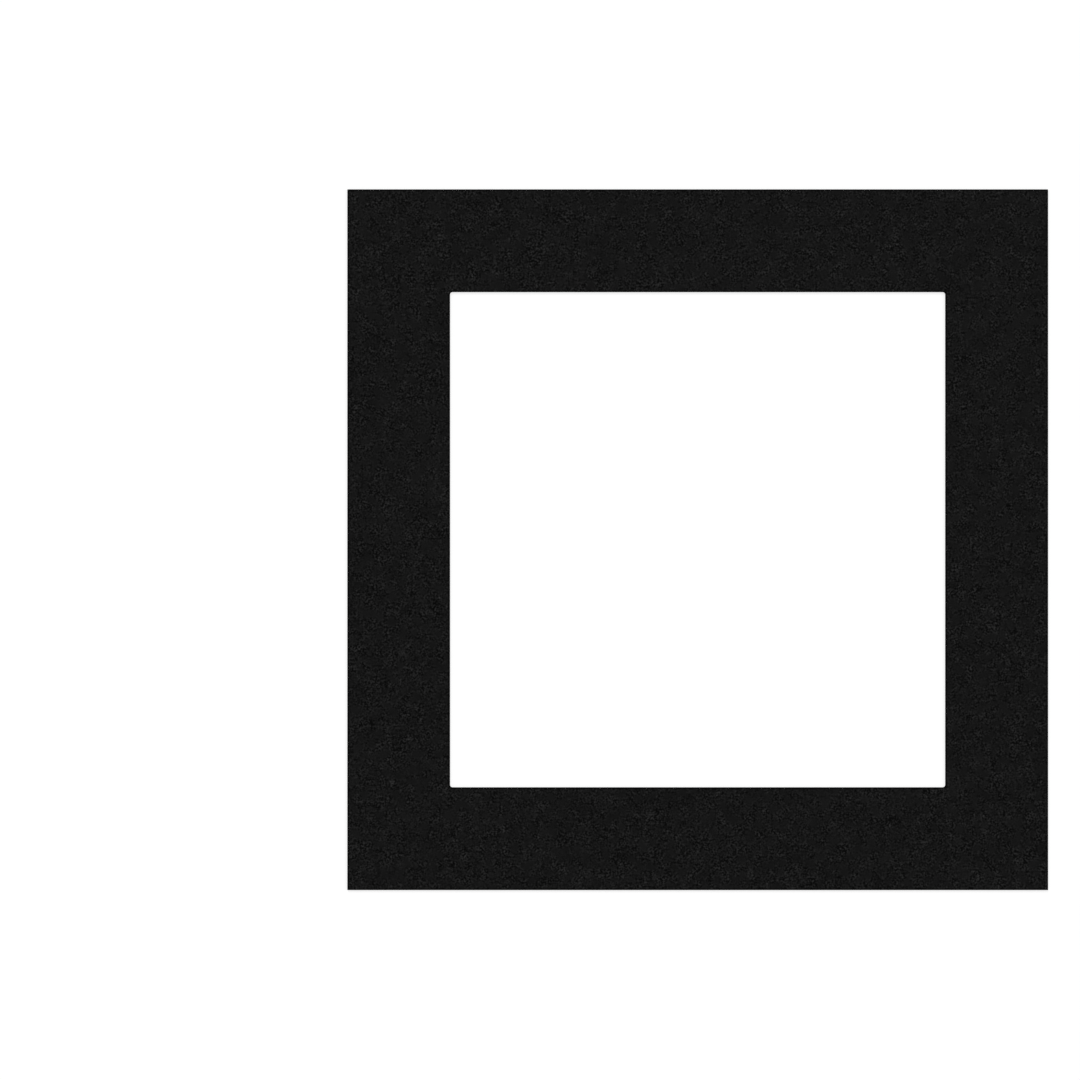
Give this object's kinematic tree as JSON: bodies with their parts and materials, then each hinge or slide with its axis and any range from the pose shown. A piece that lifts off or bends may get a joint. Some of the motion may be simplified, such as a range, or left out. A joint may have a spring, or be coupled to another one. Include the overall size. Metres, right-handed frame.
{
  "type": "picture mount",
  "caption": "Square picture mount: one flat sheet of matt black board with a square window cut through its middle.",
  "frame": {"origin": "centre of the sheet on its back face, so the origin lies in the middle of the window", "axes": "+Z out of the face, which lies upwards; +X to the right and +Y up, as the mount is seen when it is hung"},
  "size_m": [0.3048, 0.3048, 0.0014],
  "materials": {
    "black_board": "matte"
  },
  "bodies": {
    "root": {"mount_board": "black_board"}
  },
  "joints": []
}
